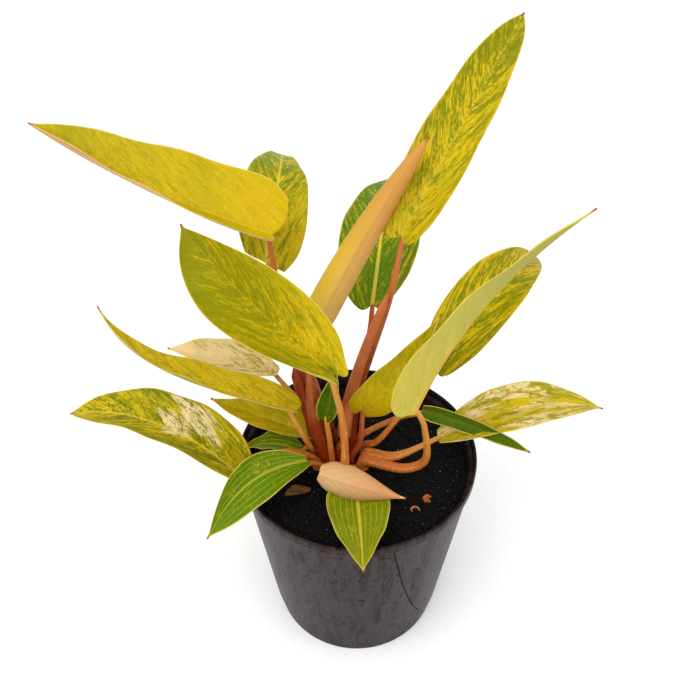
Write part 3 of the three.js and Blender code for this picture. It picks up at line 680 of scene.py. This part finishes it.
def build_blade(leaf, material):
    rows = np.linspace(0, 1, BLADE_ROWS) ** 1.1
    spread = np.linspace(-1, 1, BLADE_COLUMNS)
    columns = np.sign(spread) * np.abs(spread) ** 1.3
    along, across = np.meshgrid(rows, columns, indexing="ij")
    points = blade_surface(leaf, along, across)
    aside = np.gradient(points, axis=1)
    ahead = np.gradient(points, axis=0)
    normal = np.cross(aside, ahead)
    normal /= np.maximum(np.linalg.norm(normal, axis=2, keepdims=True), 1e-9)
    out = across * half_width(leaf, along)
    reach = np.abs(across)
    run, origin = vein_places(leaf, along, across)
    furrow = np.cos(2 * math.pi * origin / sizes().vein_pitch) * (1 - reach ** 4) * np.minimum(reach * 4, 1)
    rib_width = 1.5 - 0.9 * along
    rib = np.exp(-(out / rib_width) ** 2)
    relief = -sizes().vein_depth / MM * furrow * (1 - along) - 0.35 * rib * (1 - along)
    lamina = sizes().blade_thickness / MM * (1 - 0.6 * reach ** 6)
    spine = leaf.spine * sizes().rib_height / MM * (1 - 0.8 * along) * rib
    top = points + relief[..., None] * normal
    bottom = points + (relief - lamina - spine)[..., None] * normal
    grid = np.concatenate([top.reshape(-1, 3), bottom.reshape(-1, 3)]) * MM + CROWN_BASE
    count = BLADE_ROWS * BLADE_COLUMNS
    piece = new_mesh(f"leaf_{leaf.name}", grid, shell_faces(BLADE_ROWS, BLADE_COLUMNS))
    both = np.stack([run, origin], axis=-1).reshape(-1, 2)
    store_uv(piece.data, "veins", np.concatenate([both, both]))
    share = np.stack([(across + 1) / 2, along], axis=-1).reshape(-1, 2)
    store_uv(piece.data, "blade", np.concatenate([share, share]))
    store_value(piece.data, "upper", np.concatenate([np.ones(count), np.zeros(count)]))
    store_value(piece.data, "aside", np.tile(np.abs(out * MM).ravel(), 2))
    store_value(piece.data, "edge", np.tile((half_width(leaf, along) * (1 - reach) * MM).ravel(), 2))
    settle(piece, material, leaf.slot, f"blade_{leaf.name}")


# ---- stalks ----
STALK_POINTS = 36
FOOT_RISE = 6
NECK_OVERLAP = 2.5
SEAT_UNDER, SEAT_OVER = -1.3, 0.8
SPINELESS = 0.2
TOP_RADIUS = 1.35
RED_STALKS = ("left_gold", "rolled_young", "right_tall", "back_middle", "right_inner")


def smooth_path(points, count):
    """Points at even distances along a centripetal spline through the given points."""
    points = [np.array(point, float) for point in points]
    points = [2 * points[0] - points[1], *points, 2 * points[-1] - points[-2]]
    dense = []
    for before, start, end, after in zip(points, points[1:], points[2:], points[3:]):
        gaps = [max(math.sqrt(np.linalg.norm(b - a)), 1e-4)
                for a, b in ((before, start), (start, end), (end, after))]
        leave = (start - before) / gaps[0] - (end - before) / (gaps[0] + gaps[1]) + (end - start) / gaps[1]
        arrive = (end - start) / gaps[1] - (after - start) / (gaps[1] + gaps[2]) + (after - end) / gaps[2]
        for t in np.linspace(0, 1, 24, endpoint=False):
            dense.append((2 * t ** 3 - 3 * t ** 2 + 1) * start + (3 * t ** 2 - 2 * t ** 3) * end
                         + gaps[1] * ((t ** 3 - 2 * t ** 2 + t) * leave + (t ** 3 - t ** 2) * arrive))
    dense.append(points[-2])
    dense = np.array(dense)
    walked = np.concatenate([[0], np.cumsum(np.linalg.norm(np.diff(dense, axis=0), axis=1))])
    even = np.linspace(0, walked[-1], count)
    return np.stack([np.interp(even, walked, dense[:, axis]) for axis in range(3)], axis=1)


def stalk_tree():
    """Geometry nodes that skin a curve with a grooved stalk section scaled by the curve's radius."""
    inputs = {"Curve": "Geometry", "Groove": "Float", "Material": "Material"}
    tree, (path, groove, material, _) = new_tree("Stalk skin", inputs, "Mesh")
    circle = wire(tree, "GeometryNodeCurvePrimitiveCircle", {0: 20, 4: 1.0})
    place = wire(tree, "GeometryNodeInputPosition")
    height = wire(tree, "ShaderNodeSeparateXYZ", {0: place}, out=1)
    dent = wire(tree, "ShaderNodeMapRange", {0: height, 1: 0.6, 2: 1.0, 3: 0.0, 4: -1.0})
    depth = maths(tree, "MULTIPLY", dent, groove)
    offset = wire(tree, "ShaderNodeCombineXYZ", {1: depth})
    section = wire(tree, "GeometryNodeSetPosition", {0: circle, 3: offset})
    share = wire(tree, "GeometryNodeSplineParameter")
    marked = wire(tree, "GeometryNodeStoreNamedAttribute", {0: path, 2: "along", 3: share})
    radius = wire(tree, "GeometryNodeInputRadius")
    plain = wire(tree, "GeometryNodeSetCurveRadius", {0: marked, 2: 1.0})
    held = wire(tree, "GeometryNodeStoreNamedAttribute", {0: marked, 2: "girth", 3: radius})
    tree.links.new(held, plain.node.inputs[0])
    girth = wire(tree, "GeometryNodeInputNamedAttribute", {0: "girth"})
    skin = wire(tree, "GeometryNodeCurveToMesh", {0: plain, 1: section, 2: girth, 3: True})
    return end_tree(tree, skin, material)


def shaped(piece, tree, values):
    """Runs a tree on a piece with values for its named inputs, and returns the plain mesh."""
    made = piece.modifiers.new(tree.name, "NODES")
    made.node_group = tree
    for item in tree.interface.items_tree:
        if item.name in values:
            made[item.identifier] = values[item.name]
    return plain_mesh(piece)


def stalk(name, path, radii, material, groove=0.25):
    """A stalk along a path in metres, with a radius for each of its points."""
    tree = bpy.data.node_groups.get("Stalk skin") or stalk_tree()
    curve = bpy.data.curves.new(name, "CURVE")
    curve.dimensions = "3D"
    spline = curve.splines.new("POLY")
    spline.points.add(len(path) - 1)
    for point, place, radius in zip(spline.points, path, radii):
        point.co = (*place, 1)
        point.radius = radius
    return shaped(link(name, curve), tree, {"Groove": groove, "Material": material})


def petiole_path(leaf):
    """From the foot in the soil, along the way, to the underside of the blade's neck."""
    ring, angle, _ = leaf.foot
    turn = math.radians(angle)
    foot = np.array([ring * math.cos(turn), ring * math.sin(turn), 0.3])
    _, span, _, _, up = blade_axes(leaf)
    seat = blade_surface(leaf, np.array([NECK_OVERLAP / span]), np.array([0.0]))[0]
    end = seat + up * (SEAT_OVER if leaf.spine < SPINELESS else SEAT_UNDER)
    points = [foot, foot * [1, 1, 0] + [0, 0, FOOT_RISE], *leaf.way, end]
    return smooth_path(points, STALK_POINTS)


def build_petiole(leaf, material):
    path = petiole_path(leaf)
    share = np.linspace(0, 1, STALK_POINTS)
    foot_radius = leaf.foot[2]
    radii = foot_radius + (TOP_RADIUS - foot_radius) * share ** 0.8
    radii = radii + 0.7 * np.exp(-share * 14) - 0.5 * np.clip((share - 0.96) / 0.04, 0, 1)
    radii = radii + leaf.sheath / (1 + np.exp((share - 0.55) * 12))
    piece = stalk(f"stalk_{leaf.name}", path * MM + CROWN_BASE, radii * MM, material)
    settle(piece, material, "petiole", f"petiole_{leaf.name}")


# ---- sheaths ----
SHEATHS = (
    ("right_tall", ((2, 4, 14), (5, 9, 34), (14, 14, 70), (25, 18, 104)), (4.2, 2.2)),
    ("left_gold", ((-12, 1, 8), (-15.5, 3, 30), (-19, 5, 44), (-23.5, 9, 62)), (4.6, 3.4)),
)


HUSK_WALL = 0.35
HUSK_TURN = 1.9
HUSK_DEPTH = 0.8


def build_sheath(name, points, radii, material):
    """A thin husk, rolled lengthwise round half a turn and drawn out to a point."""
    rows, columns = 60, 21
    path = smooth_path(points, rows)
    aside, facing = path_axes(path, [0, 1, 0.2])
    share = np.linspace(0, 1, rows)[:, None]
    turn = np.linspace(-HUSK_TURN, HUSK_TURN, columns)[None, :] * (1 - 0.25 * share)
    size = (radii[0] + (radii[1] - radii[0]) * share) * np.minimum((1.02 - share) * 9, 1) ** 0.7
    shells = []
    for radius in (size, np.maximum(size - HUSK_WALL, 0.05)):
        out = radius * np.sin(turn)
        toward = radius * np.cos(turn) * HUSK_DEPTH
        shells.append(path[:, None] + out[..., None] * aside[:, None] - toward[..., None] * facing[:, None])
    points = np.concatenate([shell.reshape(-1, 3) for shell in shells]) * MM + CROWN_BASE
    piece = new_mesh(f"husk_{name}", points, shell_faces(rows, columns))
    outward(piece)
    settle(piece, material, "dry_leaf", f"sheath_{name}")


def outward(piece):
    """Turns the faces of a closed piece outwards."""
    shape = bmesh.new()
    shape.from_mesh(piece.data)
    bmesh.ops.recalc_face_normals(shape, faces=shape.faces)
    shape.to_mesh(piece.data)
    shape.free()


# ---- crown ----
def build_crown(material):
    """The stub of stem at soil level, ringed by the scars of old leaves."""
    rows, columns = 40, 48
    tall = CROWN_HIGH.z - CROWN_BASE[2]
    wide = (CROWN_HIGH.y - CROWN_LOW.y) / 2
    share = np.linspace(0, 1, rows)[:, None]
    turn = np.linspace(0, 2 * math.pi, columns, endpoint=False)[None, :]
    scars = 1 + 0.05 * np.sin(30 * share + 2 * np.sin(turn))
    radius = wide * np.sqrt(np.clip(1 - share ** 3, 0, 1)) * scars
    radius = np.maximum(radius * (1 + 0.06 * np.sin(3 * turn + 4 * share)), 0.05 * MM)
    points = turned(radius, turn, ROOT_GAP + share * (tall - ROOT_GAP)) + CROWN_BASE
    piece = new_mesh("stem_crown", points.reshape(-1, 3), tube_faces(rows, columns))
    store_value(piece.data, "along", np.repeat(share, columns, axis=1).ravel() * 0.3)
    settle(piece, material, "stem", "crown")


# ---- pot ----
WALL, FLOOR_THICKNESS, FOOT_LIFT = 1.6 * MM, 2.5 * MM, 2 * MM
RIM_HEIGHT, RIM_STEP = 6 * MM, 2.2 * MM
RIM_FILLET, BASE_FILLET = 0.6 * MM, 0.8 * MM
BASE_RADIUS = 50.5 * MM
FOOT_RING, PAD_RADIUS = 7 * MM, 14 * MM
DRAINS, DRAIN_RADIUS, DRAIN_PITCH = 8, 2.4 * MM, 29 * MM
PANELS, PANEL_TURN, PANEL_HALF, PANEL_BOTTOM = 3, math.radians(-28), 47 * MM, 13 * MM
POT_SIDES = 400
RIM_ROUND = 0.7 * MM


def wall_radius(height):
    """Outer radius of the tapered wall at a height."""
    top = POT_HIGH.z - RIM_HEIGHT
    return BASE_RADIUS + (POT_HIGH.x - RIM_STEP - BASE_RADIUS) * height / top


def panel_edge(height, turn, count):
    """Distance from the nearest outline among the first raised panels, positive inside a panel."""
    top = POT_HIGH.z - RIM_HEIGHT
    nearest = np.full(np.broadcast(height, turn).shape, -PANEL_HALF)
    for index in range(count):
        angle = turn - PANEL_TURN - 2 * math.pi * index / PANELS
        aside = wall_radius(height) * np.sin(angle)
        rise = top - PANEL_BOTTOM
        steepness = 2 * rise * aside / PANEL_HALF ** 2
        gap = (height - PANEL_BOTTOM - rise * (aside / PANEL_HALF) ** 2) / np.sqrt(1 + steepness ** 2)
        nearest = np.maximum(nearest, np.where(np.cos(angle) > 0, gap, -PANEL_HALF))
    return nearest


def panel_rise(height, turn):
    """How far the raised panels stand out of the wall at a place."""
    inside = np.clip(panel_edge(height, turn, PANELS) / (2 * MM) + 0.5, 0, 1)
    return inside ** 2 * (3 - 2 * inside) * sizes().panel_step


def arc(centre, radius, start, end, count):
    """Points of an arc in a profile, with turns in degrees."""
    turns = np.radians(np.linspace(start, end, count))
    return [(centre[0] + radius * math.cos(turn), centre[1] + radius * math.sin(turn)) for turn in turns]


def pot_profile():
    """The outline turned about Z, from the inside of the floor's edge to the foot ring's inner edge."""
    top = POT_HIGH.z - RIM_HEIGHT
    inside = wall_radius(top) - WALL
    rim = POT_HIGH.x
    floor_top = FOOT_LIFT + FLOOR_THICKNESS
    foot = BASE_RADIUS - FOOT_RING
    profile = [(foot, floor_top)]
    profile += [(wall_radius(z) - WALL, z) for z in np.linspace(floor_top, top, 24)]
    profile += [(inside + (rim - WALL - inside) * t, top + RIM_STEP * t) for t in (0.35, 0.7, 1.0)]
    profile += [(rim - WALL, z) for z in np.linspace(top + RIM_STEP + 0.5 * MM, POT_HIGH.z - RIM_ROUND, 4)]
    profile += arc((rim - WALL / 2, POT_HIGH.z - RIM_ROUND), RIM_ROUND, 170, 10, 9)
    profile += [(rim, z) for z in np.linspace(POT_HIGH.z - 1.5 * RIM_ROUND, top + RIM_FILLET, 7)]
    profile += arc((rim - RIM_FILLET, top + RIM_FILLET), RIM_FILLET, 0, -90, 5)
    wall_start = len(profile)
    profile += [(wall_radius(z), z) for z in np.linspace(top - 0.05 * MM, 1.2 * MM, 170)]
    wall_end = len(profile)
    profile += arc((wall_radius(0) - BASE_FILLET, BASE_FILLET), BASE_FILLET, -20, -90, 5)
    profile += [(foot + RIM_FILLET, 0), (foot, RIM_FILLET), (foot, FOOT_LIFT)]
    return np.array(profile), wall_start, wall_end


def ring_points(centre, radius, height, count):
    x, y = centre
    turns = [2 * math.pi * index / count for index in range(count)]
    return [Vector((x + radius * math.cos(turn), y + radius * math.sin(turn), height)) for turn in turns]


def floor_plate(shape, outer):
    """The pot's floor between two rings of vertices, with a middle pad and drain holes."""
    heights = (FOOT_LIFT, FOOT_LIFT + FLOOR_THICKNESS)
    rings = {height: [outer[height]] for height in heights}
    for index in range(DRAINS):
        turn = 2 * math.pi * index / DRAINS
        centre = (DRAIN_PITCH * math.cos(turn), DRAIN_PITCH * math.sin(turn))
        pair = [[shape.verts.new(p) for p in ring_points(centre, DRAIN_RADIUS, h, 20)] for h in heights]
        for height, ring in zip(heights, pair):
            rings[height].append(ring)
        wrap_faces(shape, pair[0], pair[1])
    pad = [[shape.verts.new(p) for p in ring_points((0, 0), PAD_RADIUS, h, 64)] for h in (FOOT_LIFT, 0)]
    wrap_faces(shape, pad[0], pad[1])
    shape.faces.new(pad[1])
    rings[FOOT_LIFT].append(pad[0])
    for height in heights:
        edges = []
        for ring in rings[height]:
            for near, far in zip(ring, ring[1:] + ring[:1]):
                edges.append(shape.edges.get((near, far)) or shape.edges.new((near, far)))
        bmesh.ops.triangle_fill(shape, use_beauty=True, use_dissolve=False, edges=edges)


def wrap_faces(shape, first, second):
    """Quads between two rings of as many vertices."""
    count = len(first)
    for index in range(count):
        after = (index + 1) % count
        shape.faces.new((first[index], first[after], second[after], second[index]))


def build_pot(material):
    profile, wall_start, wall_end = pot_profile()
    turn = np.linspace(0, 2 * math.pi, POT_SIDES, endpoint=False)[None, :]
    height = profile[:, 1:2]
    radius = profile[:, :1] + 0 * turn
    fade = np.clip((POT_HIGH.z - RIM_HEIGHT - height[wall_start:wall_end]) / (0.8 * MM), 0, 1)
    radius[wall_start:wall_end] += panel_rise(height[wall_start:wall_end], turn) * fade
    wobble = 1 + 0.0012 * np.sin(3 * turn + 0.6) + 0.0008 * np.sin(5 * turn)
    radius = radius * (1 + (wobble - 1) * (height / POT_HIGH.z))
    points = turned(radius, turn, height)
    shape = bmesh.new()
    rows = [[shape.verts.new(Vector(point)) for point in row] for row in points]
    for near, far in zip(rows, rows[1:]):
        wrap_faces(shape, near, far)
    floor_plate(shape, {FOOT_LIFT: rows[-1], FOOT_LIFT + FLOOR_THICKNESS: rows[0]})
    bmesh.ops.recalc_face_normals(shape, faces=shape.faces)
    mesh = bpy.data.meshes.new("nursery_pot")
    shape.to_mesh(mesh)
    shape.free()
    piece = link("nursery_pot", mesh)
    mesh.polygons.foreach_set("use_smooth", [True] * len(mesh.polygons))
    mesh.set_sharp_from_angle(angle=math.radians(50))
    places = np.empty(len(mesh.vertices) * 3)
    mesh.vertices.foreach_get("co", places)
    x, y, z = places.reshape(-1, 3).T
    on_wall = (np.hypot(x, y) > wall_radius(z) - WALL / 2) & (z < POT_HIGH.z - RIM_HEIGHT)
    # distance to the first panel's outline, where the material paints a line of shade along the step
    store_value(mesh, "panel_edge", np.where(on_wall, panel_edge(z, np.arctan2(y, x), 1), PANEL_HALF))
    settle(piece, material, "pot_plastic", "pot")


# ---- soil ----
SOIL_RINGS, SOIL_SIDES = 96, 220
SOIL_DIP = 2.5 * MM
FLAT_RADIUS, ROUGH_RADIUS = 16 * MM, 8 * MM
LUMP_HEIGHT, GRAIN_HEIGHT = 0.9 * MM, 1.0 * MM
SOIL_SINK = 0.9 * MM


def soil_height(x, y):
    """Height of the soil's top: flat round the crown, and lumpy and lower towards the wall."""
    place = Vector((x, y, 0))
    wide = SOIL_HIGH.x
    dip = SOIL_DIP * (math.hypot(x, y) / wide) ** 4
    away = math.hypot(x - CROWN_BASE[0], y - CROWN_BASE[1])
    rough = min(max((away - FLAT_RADIUS) / ROUGH_RADIUS, 0), 1)
    lumps = noise.fractal(place * 85, 0.8, 2.1, 4) * LUMP_HEIGHT
    grains = abs(noise.noise(place * 420)) * GRAIN_HEIGHT
    return CROWN_BASE[2] - SOIL_SINK + (lumps - dip) * rough + grains


def build_soil(material):
    wide = SOIL_HIGH.x + 0.3 * MM
    rows = []
    for ring in range(1, SOIL_RINGS + 1):
        flat = ring_points((0, 0), wide * ring / SOIL_RINGS, 0, SOIL_SIDES)
        rows.append([(x, y, soil_height(x, y)) for x, y, _ in flat])
    edge = rows[-1][0][2]
    low = SOIL_LOW.z
    narrow = wall_radius(low) - WALL - ROOT_GAP
    for share in (0.25, 0.6, 1.0):
        radius = wide + (narrow - wide) * share
        rows.append(ring_points((0, 0), radius, edge * (1 - share) + low * share, SOIL_SIDES))
    points = [point for row in rows for point in row]
    faces = grid_faces(len(rows), SOIL_SIDES, flip=True, closed=True)
    middle = len(points)
    points.append((0, 0, soil_height(0, 0)))
    faces += [(middle, step, (step + 1) % SOIL_SIDES) for step in range(SOIL_SIDES)]
    faces.append(list(range(middle - SOIL_SIDES, middle))[::-1])
    piece = new_mesh("potting_soil", points, faces)
    outward(piece)
    settle(piece, material, "soil", "soil")
    return piece


def crumb_tree():
    """Geometry nodes that scatter rough crumbs over the upward faces of a mesh."""
    inputs = {
        "Ground": "Geometry", "Density": "Float", "Size": "Float", "Stretch": "Float", "Seed": "Int",
        "Material": "Material", "Tumble": "Float", "Reach": "Float",
    }
    tree, entry = new_tree("Crumb scatter", inputs, "Crumbs")
    ground, density, size, stretch, seed, material, tumble, reach = entry[:8]
    place = wire(tree, "GeometryNodeInputPosition")
    flat = vector_maths(tree, "MULTIPLY", place, (1.0, 1.0, 0.0))
    away = wire(tree, "ShaderNodeVectorMath", {0: flat}, out=1, operation="LENGTH")
    near = wire(tree, "FunctionNodeCompare", {0: away, 1: reach}, operation="LESS_THAN")
    upward = wire(tree, "ShaderNodeSeparateXYZ", {0: wire(tree, "GeometryNodeInputNormal")}, out=2)
    on_top = wire(tree, "FunctionNodeCompare", {0: upward, 1: 0.4}, operation="GREATER_THAN")
    chosen = wire(tree, "FunctionNodeBooleanMath", {0: on_top, 1: near}, operation="AND")
    points = wire(tree, "GeometryNodeDistributePointsOnFaces",
                  {0: ground, 1: chosen, 4: density, 6: seed}, distribute_method="RANDOM")
    ball = wire(tree, "GeometryNodeMeshIcoSphere", {0: 1.0, 1: 1})
    jitter = wire(tree, "ShaderNodeTexNoise", {0: place, 2: 1.3, 3: 2.0}, out=1)
    centred = vector_maths(tree, "SUBTRACT", jitter, (0.5, 0.5, 0.5))
    bumps = vector_maths(tree, "MULTIPLY", centred, (1.8, 1.8, 1.8))
    crumb = wire(tree, "GeometryNodeSetPosition", {0: ball, 3: bumps})
    turn = wire(tree, "FunctionNodeRandomValue",
                {0: (0.0, 0.0, 0.0), 1: (6.28, 6.28, 6.28), 8: seed}, data_type="FLOAT_VECTOR")
    lean = wire(tree, "ShaderNodeCombineXYZ", {0: tumble, 1: tumble, 2: 1.0})
    leaning = vector_maths(tree, "MULTIPLY", turn, lean)
    rotation = wire(tree, "FunctionNodeEulerToRotation", {0: leaning})
    spread = wire(tree, "FunctionNodeRandomValue", {2: 0.0, 3: 1.0, 8: seed}, out=1, data_type="FLOAT")
    cubed = maths(tree, "POWER", spread, 3.0)
    share = wire(tree, "ShaderNodeMapRange", {0: cubed, 3: 0.3, 4: 1.7})
    radius = maths(tree, "MULTIPLY", share, size)
    half = maths(tree, "MULTIPLY", radius, 0.5)
    long = maths(tree, "MULTIPLY", half, stretch)
    scale = wire(tree, "ShaderNodeCombineXYZ", {0: long, 1: half, 2: half})
    crumbs = wire(tree, "GeometryNodeInstanceOnPoints", {0: points, 2: crumb, 5: rotation, 6: scale})
    return end_tree(tree, crumbs, material)


def scatter(name, ground, density, size, stretch, seed, material, tumble=1.0, reach=0.98):
    """Crumbs of one kind over the soil."""
    tree = bpy.data.node_groups.get("Crumb scatter") or crumb_tree()
    piece = shaped(link(name, ground.data.copy()), tree, {
        "Density": density, "Size": size, "Stretch": stretch, "Seed": seed, "Material": material,
        "Tumble": tumble, "Reach": reach * SOIL_HIGH.x,
    })
    settle(piece, material, "soil")


# ---- debris ----
def tube_piece(name, path, radii, flat, material, node):
    """A strip or twig along a path, with an oval section flattened by a share, closed at both ends."""
    rows, columns = len(path), 16
    aside, facing = path_axes(path, [0.1, 0.2, 1.0])
    turn = np.linspace(0, 2 * math.pi, columns, endpoint=False)
    out = radii[:, None] * np.cos(turn)
    over = radii[:, None] * np.sin(turn) * flat
    points = path[:, None] + out[..., None] * aside[:, None] + over[..., None] * facing[:, None]
    piece = new_mesh(name, points.reshape(-1, 3), tube_faces(rows, columns))
    outward(piece)
    settle(piece, material, "debris", node)


def centre_of(node):
    low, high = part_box(node)
    return np.array((low + high) / 2), np.array(high - low)


def build_pellet(material):
    """A curled scrap of bark, bent round into a broken ring."""
    centre, span = centre_of("soil_pellet")
    turn = np.linspace(0.3, 5.6, 40)
    radius = span[0] * 0.27
    path = np.stack([radius * np.cos(turn), radius * 0.85 * np.sin(turn), 0.12 * span[2] * np.sin(turn)], 1)
    radii = span[2] * 0.36 * (1 + 0.15 * np.sin(5 * turn))
    tube_piece("bark_curl", path + centre, radii, 0.9, material, "soil_pellet")


def build_shaving(material):
    """A thin curl of wood."""
    centre, span = centre_of("wood_shaving")
    turn = np.linspace(0, 3.8, 40)
    path = np.stack([span[0] * 0.4 * np.cos(turn), span[1] * 0.45 * np.sin(turn), 0.2 * MM * turn], 1)
    radii = 0.7 * MM * np.sin(np.linspace(0.35, 2.9, 40))
    tube_piece("shaving_curl", path + centre, radii, 0.45, material, "wood_shaving")


def build_dried_leaf(material):
    """A withered leaf, crumpled and cupped, lying on the soil."""
    centre, span = centre_of("dried_leaf")
    rows, columns = 44, 19
    share = np.linspace(0, 1, rows)[:, None]
    across = np.linspace(-1, 1, columns)[None, :]
    half = 3.4 * MM * np.sin(math.pi * (0.04 + 0.92 * share)) ** 0.8
    x = (share - 0.5) * 14.6 * MM + 0 * across
    y = across * half + 0.8 * MM * np.sin(5 * share)
    z = 0.35 * half * across ** 2 + 0.35 * MM * np.sin(9 * share + 4 * across)
    turn = math.radians(20)
    flat = np.stack([x * math.cos(turn) - y * math.sin(turn), x * math.sin(turn) + y * math.cos(turn), z], -1)
    base = centre - [0, 0, span[2] / 4]
    sides = [(flat + base + [0, 0, thick * MM]).reshape(-1, 3) for thick in (0.45, 0.0)]
    piece = new_mesh("withered_leaf", np.concatenate(sides), shell_faces(rows, columns))
    outward(piece)
    settle(piece, material, "dry_leaf", "dried_leaf")


# ---- operators ----
class PHILODENDRON_OT_pot(bpy.types.Operator):
    """Build the nursery pot with its rim, raised panels, foot ring and drain holes"""
    bl_idname = "philodendron.pot"
    bl_label = "Pot"

    def execute(self, context):
        build_pot(pot_finish(colours_of()))
        return {"FINISHED"}


class PHILODENDRON_OT_soil(bpy.types.Operator):
    """Build the soil with its crumbs, fibres and mineral specks"""
    bl_idname = "philodendron.soil"
    bl_label = "Soil"

    def execute(self, context):
        c, s = colours_of(), sizes()
        peat = soil_finish("moist peat", c.soil, c.crumb)
        ground = build_soil(peat)
        dark = soil_finish("dark crumb", c.soil, c.crumb, 0.2)
        brown = soil_finish("bark crumb", c.crumb, c.petiole_low, 0.3)
        pale = soil_finish("mineral speck", c.cream, c.husk, 0.5)
        many, size = s.crumb_density, s.crumb_size
        scatter("peat_crumbs", ground, many, 1.7 * size, 1.3, s.seed, dark)
        scatter("bark_crumbs", ground, many / 30, size, 1.8, s.seed + 1, brown)
        scatter("mineral_specks", ground, many / 13, 0.36 * size, 1.0, s.seed + 2, pale)
        scatter("peat_fibres", ground, many / 60, 0.4 * size, 9.0, s.seed + 3, brown, 0.1, 0.9)
        scatter("pale_fibres", ground, many / 170, 0.26 * size, 26.0, s.seed + 9, pale, 0.02, 0.72)
        return {"FINISHED"}


class PHILODENDRON_OT_debris(bpy.types.Operator):
    """Build the bark curl, the shaving and the withered leaf on the soil"""
    bl_idname = "philodendron.debris"
    bl_label = "Debris"

    def execute(self, context):
        c = colours_of()
        build_pellet(soil_finish("bark curl", c.petiole_high, c.petiole_low, 0.3))
        build_shaving(soil_finish("shaving", c.husk, c.crumb, 0.3))
        withered = shade_of(c.petiole_pale, 0.3)
        build_dried_leaf(soil_finish("withered leaf", withered, c.crumb, 0.3))
        return {"FINISHED"}


class PHILODENDRON_OT_stalks(bpy.types.Operator):
    """Build the crown, the petioles and the dry husks"""
    bl_idname = "philodendron.stalks"
    bl_label = "Crown and petioles"

    def execute(self, context):
        c = colours_of()
        red = stalk_finish("red petiole", c.petiole_low, c.petiole_high, c.husk)
        pale = stalk_finish("pale petiole", c.petiole_high, c.petiole_pale, c.rib)
        build_crown(red)
        for leaf in LEAVES:
            build_petiole(leaf, red if leaf.name in RED_STALKS else pale)
        for name, points, radii in SHEATHS:
            build_sheath(name, points, radii, red if name == "left_gold" else husk_finish(c))
        return {"FINISHED"}


class PHILODENDRON_OT_blades(bpy.types.Operator):
    """Build the twenty mottled blades"""
    bl_idname = "philodendron.blades"
    bl_label = "Blades"

    def execute(self, context):
        for index, leaf in enumerate(LEAVES):
            build_blade(leaf, leaf_finish(leaf, colours_of(), index))
        return {"FINISHED"}


class PHILODENDRON_OT_stage(bpy.types.Operator):
    """Set the camera, the pale floor and the soft lights"""
    bl_idname = "philodendron.stage"
    bl_label = "Stage"

    def execute(self, context):
        settings = context.scene.philodendron_stage
        build_camera(settings)
        build_floor(settings)
        build_lights(settings)
        context.scene.view_settings.view_transform = "Standard"
        return {"FINISHED"}


# ---- stage ----
def build_camera(settings):
    camera = link("Camera", bpy.data.cameras.new("Camera"))
    camera.location = (settings.camera_side, -settings.camera_back, settings.camera_height)
    camera.rotation_euler = (math.pi / 2 - settings.camera_pitch, 0, 0)
    camera.data.lens = settings.lens
    camera.data.clip_start = 0.01
    bpy.context.scene.camera = camera


def build_floor(settings):
    """A wide pale floor."""
    half = 4.0
    corners = [(-half, -half, 0), (half, -half, 0), (half, half, 0), (-half, half, 0)]
    floor = new_mesh("floor", corners, [(0, 1, 2, 3)])
    f = Finish("floor paper", Specular_IOR_Level=0.1)
    grain = f.noise(f.place(), 300.0, 2.0)
    base = f.mix(f.ramp(grain, 0.3, 0.7, 0.0, 0.1), settings.floor, (0.8, 0.8, 0.8))
    floor.data.materials.append(f.finish(base, 0.9, grain, 0.05 * MM, 0.1))


def build_lights(settings):
    world = bpy.data.worlds.new("Studio")
    world.use_nodes = True
    background = world.node_tree.nodes["Background"]
    background.inputs[0].default_value = (1.0, 1.0, 1.0, 1.0)
    background.inputs[1].default_value = settings.sky
    bpy.context.scene.world = world
    middle = Vector((0, 0, 0.15))
    for name, power, size, place in (
        ("key light", settings.key, 0.9, (-0.5, -0.5, 1.1)),
        ("fill light", settings.fill, 0.7, (0.9, -0.4, 0.5)),
    ):
        lamp = bpy.data.lights.new(name, "AREA")
        lamp.energy = power
        lamp.size = size
        holder = link(name, lamp)
        holder.location = place
        holder.rotation_euler = (middle - Vector(place)).to_track_quat("-Z", "Y").to_euler()


# ---- add-on ----
OPERATORS = (
    PHILODENDRON_OT_pot, PHILODENDRON_OT_soil, PHILODENDRON_OT_debris, PHILODENDRON_OT_stalks,
    PHILODENDRON_OT_blades, PHILODENDRON_OT_stage,
)
GROUPS = {
    "philodendron_colours": PlantColours,
    "philodendron_sizes": PlantSizes,
    "philodendron_stage": StageSettings,
}


class PHILODENDRON_PT_panel(bpy.types.Panel):
    """Buttons for each group of pieces"""
    bl_label = "Philodendron"
    bl_space_type = "VIEW_3D"
    bl_region_type = "UI"
    bl_category = "Philodendron"

    def draw(self, context):
        for operator in OPERATORS:
            self.layout.operator(operator.bl_idname)


def register():
    for made in (*GROUPS.values(), *OPERATORS, PHILODENDRON_PT_panel):
        bpy.utils.register_class(made)
    for name, group in GROUPS.items():
        setattr(bpy.types.Scene, name, PointerProperty(type=group))


def unregister():
    for name in GROUPS:
        delattr(bpy.types.Scene, name)
    for made in (PHILODENDRON_PT_panel, *reversed(OPERATORS), *reversed(GROUPS.values())):
        bpy.utils.unregister_class(made)


def main():
    register()
    for operator in OPERATORS:
        group, name = operator.bl_idname.split(".")
        getattr(getattr(bpy.ops, group), name)()


if __name__ == "__main__":
    main()
